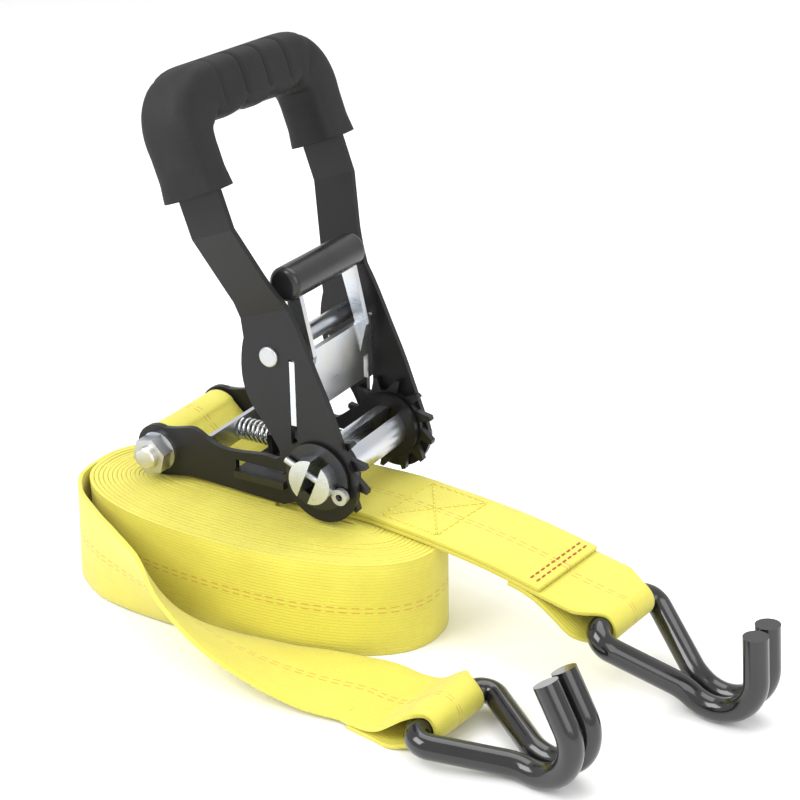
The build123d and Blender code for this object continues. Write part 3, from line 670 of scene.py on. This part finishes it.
SHORT_START = Vector((62.0, 28.3, 0.0))
SHORT_REACH = Vector((SHORT_HOOK.x, SHORT_HOOK.y, 0.0)) - SHORT_START
SHORT_LENGTH = SHORT_REACH.length
SHORT_SPLINE_STEPS = 7
TAIL_EYE_RADIUS = 11.7
UPPER_LAYER = 53.75
LOWER_LAYER = 51.38


def short_place(x, z):
    """A point on the strap's middle line: x forward from its start, or behind it on the ratchet."""
    if x <= 0.0:
        return Vector((SHORT_START.x + x, SHORT_START.y, z))
    return SHORT_START + SHORT_REACH.normalized() * x + Vector((0, 0, z))


def short_across(x):
    """Level way across the strap; it turns with the strap over a short stretch."""
    way = SHORT_REACH.normalized()
    share = min(1.0, max(0.0, (x + 12.0) / 24.0))
    turned = Vector((1, 0, 0)).lerp(way, share).normalized()
    return Vector((-turned.y, turned.x, 0.0))


def short_strap_stations():
    """The short strap from its lap by the hook, round the tail spacer and the hook's bar, and back."""
    upper, lower = UPPER_LAYER, LOWER_LAYER
    bar = SHORT_HOOK.z
    line = [(103.5, 48.0), (88.0, 50.1), (72.0, 51.9), (55.0, 53.0), (36.0, 53.6), (18.0, upper)]
    line += [(0.0, upper), (-22.0, upper), (-45.0, upper), (-70.0, upper), (-88.0, 54.0), (-101.0, 59.2)]
    for degrees_round in range(30, 291, 26):
        angle = radians(degrees_round)
        x = SPACER.x - SHORT_START.x + TAIL_EYE_RADIUS * cos(angle)
        line.append((x, SPACER.y + TAIL_EYE_RADIUS * sin(angle)))
    line += [(-113.0, 51.6), (-96.0, lower), (-70.0, lower), (-45.0, lower), (-22.0, lower)]
    line += [(0.0, lower)]
    line += [(18.0, lower), (36.0, 51.25), (55.0, 50.6), (72.0, 49.5), (88.0, 47.65), (103.5, 45.4)]
    reach = SHORT_LENGTH
    line += [(115.0, 43.9), (reach - 7.0, 42.9)]
    for degrees_round in range(80, -101, -30):
        angle = radians(degrees_round)
        line.append((reach + EYE_RADIUS * cos(angle), bar + EYE_RADIUS * sin(angle)))
    line += [(120.0, 31.2), (110.0, 37.4), (101.0, 42.2), (93.0, 44.6), (86.0, 45.6)]
    centres = spline_points([short_place(x, z) for x, z in line], SHORT_SPLINE_STEPS)
    xs = smooth_numbers([x for x, _ in line], SHORT_SPLINE_STEPS)
    return [(c, short_across(x), eye_width(x - reach)) for c, x in zip(centres, xs)]


# ================= grip =================


GRIP_LEG = 52.25
GRIP_TOP = 190.0
GRIP_LOW = 147.0
GRIP_BEND = 18.0
GRIP_LEG_STEPS = 18
GRIP_BEND_STEPS = 16
GRIP_BAR_STEPS = 40
GRIP_SIDES = 48
GRIP_SQUARENESS = 0.55
GRIP_HALF_DEPTH = 14.0
GRIP_SET_BACK = 1.0
GRIP_INNER = 12.0
GRIP_OUTER = 12.25
GRIP_BAR_EXTRA = 1.75
BAR_FROM = 168.0
BAR_BLEND = 14.0
FLARE_SHARE = 0.07
FLARE_RUN = 9.0
LOBE_PITCH = 23.0
LOBE_DEPTH = 2.9
LOBE_ROUNDNESS = 0.55
GROOVE_LEAN = 0.55
GROOVE_REACH = 6.0
GROOVE_WIDTH = 1.1
GROOVE_SIDE_SHARE = 0.8
CAP_INSET = 1.2
# Each groove over the grip: where it crosses the middle, and its share of the full depth.
GRIP_GROOVES = ((-36.0, 0.35), (-18.0, 1.0), (0.0, 1.0), (18.0, 1.0), (36.0, 0.35))


def grip_line():
    """Middle line of the grip in the handle's cross plane: (outward, up, way out, way up)."""
    leg, top, low, bend = GRIP_LEG, GRIP_TOP, GRIP_LOW, GRIP_BEND
    half = []
    for step in range(GRIP_LEG_STEPS):
        half.append((leg, low + (top - bend - low) * step / GRIP_LEG_STEPS, 0.0, 1.0))
    for step in range(GRIP_BEND_STEPS):
        a = radians(90.0 * step / GRIP_BEND_STEPS)
        half.append((leg - bend + bend * cos(a), top - bend + bend * sin(a), -sin(a), cos(a)))
    for step in range(GRIP_BAR_STEPS + 1):
        half.append(((leg - bend) * (1 - step / GRIP_BAR_STEPS), top, -1.0, 0.0))
    other = [(-o, u, w, -r) for o, u, w, r in reversed(half[:-1])]
    return half + other


def grip_bmesh(groove_depth):
    """Moulded grip: rings along its line, with finger bumps inside and grooves outside."""
    bm = bmesh.new()
    angle_layer = bm.verts.layers.float.new("angle")
    made = bmesh.ops.create_circle(bm, segments=GRIP_SIDES, radius=1.0)
    for vert in made["verts"]:
        vert[angle_layer] = atan2(vert.co.y, vert.co.x)
    row, edges = made["verts"], list(bm.edges)
    first = list(edges)
    for number, (out, up, way_out, way_up) in enumerate(grip_line()):
        if number:
            row, edges = grown_edge(bm, edges)
        inward = Vector((-way_up, way_out))
        on_bar = min(1.0, max(0.0, (up - BAR_FROM) / BAR_BLEND))
        flare = 1.0 + FLARE_SHARE * max(0.0, 1.0 - (up - GRIP_LOW) / FLARE_RUN)
        lobe = abs(cos(pi * out / LOBE_PITCH)) ** LOBE_ROUNDNESS
        inner = GRIP_INNER + on_bar * LOBE_DEPTH * lobe
        outer = GRIP_OUTER + GRIP_BAR_EXTRA * on_bar
        for vert in row:
            c, s = cos(vert[angle_layer]), sin(vert[angle_layer])
            deep = GRIP_HALF_DEPTH * flare * (1 if c > 0 else -1) * abs(c) ** GRIP_SQUARENESS
            thick = (inner if s > 0 else outer) * flare
            side = thick * (1 if s > 0 else -1) * abs(s) ** GRIP_SQUARENESS
            if s < 0.35:
                for groove, share in GRIP_GROOVES:
                    off = out - groove + GROOVE_LEAN * deep
                    if on_bar > 0.5 and abs(off) < GROOVE_REACH:
                        cut = share * groove_depth / MM * exp(-((off / GROOVE_WIDTH) ** 2))
                        side += cut * max(0.0, -s) ** 0.5 if s < 0 else 0.0
                        deep -= cut * c * GROOVE_SIDE_SHARE
            flat = Vector((out, up)) + inward * side
            point = PIVOT + NEAR * flat.x + ALONG * flat.y + FRONT * (deep - GRIP_SET_BACK)
            vert.co = point
    for ring in (first, edges):
        cap = bmesh.ops.contextual_create(bm, geom=ring)["faces"]
        bmesh.ops.inset_region(bm, faces=cap, thickness=CAP_INSET, depth=0.0)
    bmesh.ops.recalc_face_normals(bm, faces=bm.faces)
    return bm


# ================= operators =================

MATERIALS = {}

FINISH_OF_NODE = {
    "base_plate_near": "paint", "base_plate_far": "paint", "handle_arm_near": "paint",
    "handle_arm_far": "paint", "release_sleeve": "plastic", "front_hook_coating": "vinyl",
    "short_hook_coating": "vinyl", "grip_rod": "zinc", "base_pawl_spring": "spring",
    "release_spring": "spring", "front_hook_wire": "vinyl", "short_hook_wire": "vinyl",
    "spindle_washers": "gear", "handle_rivet": "dull", "split_pins": "dull", "tail_nut": "dull",
    "gear_near": "gear", "gear_far": "gear", "base_pawl": "gear",
}


# ---- stage, in metres ----
FLOOR_HALF = 6.0
SKY_STRENGTH = 0.85
LAMPS_AIM = Vector((0.06, 0.0, 0.08))
LAMPS = (
    ("key", (-0.55, -0.9, 1.15), 0.9, 17.0),
    ("fill", (1.2, -0.7, 0.8), 1.1, 9.0),
    ("top", (0.1, 0.5, 1.5), 1.2, 12.0),
)
CAMERA_PLACE = (0.4429, -0.6069, 0.4390)
CAMERA_TURN = radians(30.69)
CAMERA_TILT = radians(24.17)
CAMERA_ROLL = radians(-1.16)
CAMERA_LENS = 74.96


class TIEDOWN_OT_finishes(bpy.types.Operator):
    """Make every finish and put it on the metal, plastic and vinyl pieces"""

    bl_idname = "tiedown.finishes"
    bl_label = "Finishes"

    def execute(self, context):
        metal = context.scene.tiedown_metal
        MATERIALS["webbing"] = webbing_material(context.scene.tiedown_webbing)
        webbing = context.scene.tiedown_webbing
        MATERIALS["thread"] = thread_material("sewing_thread", webbing.thread)
        MATERIALS["pale_thread"] = thread_material("pale_thread", webbing.colour)
        MATERIALS["zinc"] = zinc_material(metal)
        MATERIALS["dull"] = zinc_material(metal, "dull_zinc", 0.82, 0.38, (1.0, 1.0, 1.0))
        MATERIALS["gear"] = zinc_material(metal, "blackened_zinc", 0.09, 0.36, (0.2, 1.0, 0.2))
        MATERIALS["spring"] = zinc_material(metal, "spring_wire", 0.95, 0.2, (1.0, 1.0, 0.1))
        MATERIALS["paint"] = paint_material(metal)
        MATERIALS["rubber"] = rubber_material(context.scene.tiedown_grip)
        MATERIALS["plastic"] = plastic_material()
        MATERIALS["vinyl"] = vinyl_material()
        for name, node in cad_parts.items():
            finish = MATERIALS[FINISH_OF_NODE.get(name, "zinc")]
            for number in range(len(node.material_slots)):
                node.material_slots[number].material = finish
        return {"FINISHED"}


class TIEDOWN_OT_long_strap(bpy.types.Operator):
    """Wind the long strap, lay its free end on the floor and turn it round the front hook"""

    bl_idname = "tiedown.long_strap"
    bl_label = "Long strap"

    def execute(self, context):
        stations, free = long_strap_stations()
        bm, run = ribbon(stations, 6)
        strap = webbing_piece("long_strap", bm, MATERIALS["webbing"])
        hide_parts("long_strap_roll", "long_strap_tail")
        to_lap = zip(free, free[1 : FRONT_LAP_STATION + 1])
        eye_start = sum((b[0] - a[0]).length for a, b in to_lap)
        sewn = stitch_lines(free, eye_start, cross_rows(19.0, 1.0, 5.0), -1.0)
        threads("front_eye_stitches", sewn, MATERIALS["thread"])
        return {"FINISHED"}


class TIEDOWN_OT_short_strap(bpy.types.Operator):
    """Lay the short strap from its hook, under the ratchet and round the tail spacer"""

    bl_idname = "tiedown.short_strap"
    bl_label = "Short strap"

    def execute(self, context):
        stations = short_strap_stations()
        bm, run = ribbon(stations, 10)
        strap = webbing_piece("short_strap_webbing", bm, MATERIALS["webbing"])
        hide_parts("short_strap")
        sewn = stitch_lines(stations, 0.0, cross_rows(21.5, 4.0, 7.5, 158.0, 162.0))
        threads("short_strap_stitches", sewn, MATERIALS["thread"])
        pale = stitch_lines(stations, 62.0, crossed_box(34.0, 20.5))
        threads("short_strap_pale_stitches", pale, MATERIALS["pale_thread"])
        return {"FINISHED"}


class TIEDOWN_OT_grip(bpy.types.Operator):
    """Mould the rubber grip over the handle's ends"""

    bl_idname = "tiedown.grip"
    bl_label = "Grip"

    def execute(self, context):
        bm = grip_bmesh(context.scene.tiedown_grip.groove_depth)
        grip = finish_object("moulded_grip", bm, MATERIALS["rubber"], "handle")
        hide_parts("grip_cover")
        return {"FINISHED"}


class TIEDOWN_OT_stage(bpy.types.Operator):
    """Pale floor, soft lights and the camera"""

    bl_idname = "tiedown.stage"
    bl_label = "Stage"

    def execute(self, context):
        bm = bmesh.new()
        bmesh.ops.create_grid(bm, x_segments=1, y_segments=1, size=FLOOR_HALF)
        mesh = bpy.data.meshes.new("floor")
        bm.to_mesh(mesh)
        bm.free()
        made = bpy.data.materials.new("floor_white")
        made.use_nodes = True
        shader = made.node_tree.nodes["Principled BSDF"]
        shader.inputs["Base Color"].default_value = (0.93, 0.93, 0.93, 1.0)
        mesh.materials.append(made)
        floor = bpy.data.objects.new("floor", mesh)
        context.scene.collection.objects.link(floor)
        world = bpy.data.worlds.new("studio")
        world.use_nodes = True
        sky = world.node_tree.nodes["Background"]
        sky.inputs[0].default_value = (1.0, 1.0, 1.0, 1.0)
        sky.inputs[1].default_value = SKY_STRENGTH
        context.scene.world = world
        for name, place, size, power in LAMPS:
            lamp = bpy.data.lights.new(name, "AREA")
            lamp.size = size
            lamp.energy = power
            obj = bpy.data.objects.new(name, lamp)
            obj.location = place
            obj.rotation_euler = (LAMPS_AIM - Vector(place)).to_track_quat("-Z", "Y").to_euler()
            context.scene.collection.objects.link(obj)
        turn, tilt, roll = CAMERA_TURN, CAMERA_TILT, CAMERA_ROLL
        way = Vector((-sin(turn) * cos(tilt), cos(turn) * cos(tilt), -sin(tilt)))
        right = way.cross(Vector((0, 0, 1))).normalized()
        up = right.cross(way)
        level = right * cos(roll) + up * sin(roll)
        upright = up * cos(roll) - right * sin(roll)
        lens = bpy.data.cameras.new("camera")
        lens.lens = CAMERA_LENS
        lens.sensor_width = 36.0
        camera = bpy.data.objects.new("camera", lens)
        camera.matrix_world = Matrix.Translation(CAMERA_PLACE) @ Matrix(
            (level, upright, -way)
        ).transposed().to_4x4()
        context.scene.collection.objects.link(camera)
        context.scene.camera = camera
        context.scene.view_settings.view_transform = "Standard"
        return {"FINISHED"}


class TIEDOWN_PT_panel(bpy.types.Panel):
    """Buttons for each step of the tie down"""

    bl_label = "Tie Down"
    bl_idname = "TIEDOWN_PT_panel"
    bl_space_type = "VIEW_3D"
    bl_region_type = "UI"
    bl_category = "Tie Down"

    def draw(self, context):
        for operator in OPERATORS:
            self.layout.operator(operator.bl_idname)


OPERATORS = (
    TIEDOWN_OT_finishes,
    TIEDOWN_OT_long_strap,
    TIEDOWN_OT_short_strap,
    TIEDOWN_OT_grip,
    TIEDOWN_OT_stage,
)
CLASSES = (WebbingSettings, MetalSettings, GripSettings) + OPERATORS + (TIEDOWN_PT_panel,)


def register():
    for made in CLASSES:
        bpy.utils.register_class(made)
    bpy.types.Scene.tiedown_webbing = bpy.props.PointerProperty(type=WebbingSettings)
    bpy.types.Scene.tiedown_metal = bpy.props.PointerProperty(type=MetalSettings)
    bpy.types.Scene.tiedown_grip = bpy.props.PointerProperty(type=GripSettings)


def unregister():
    del bpy.types.Scene.tiedown_grip
    del bpy.types.Scene.tiedown_metal
    del bpy.types.Scene.tiedown_webbing
    for made in reversed(CLASSES):
        bpy.utils.unregister_class(made)


def main():
    """Run every step in order."""
    register()
    bpy.ops.tiedown.finishes()
    bpy.ops.tiedown.long_strap()
    bpy.ops.tiedown.short_strap()
    bpy.ops.tiedown.grip()
    bpy.ops.tiedown.stage()


if __name__ == "__main__":
    main()
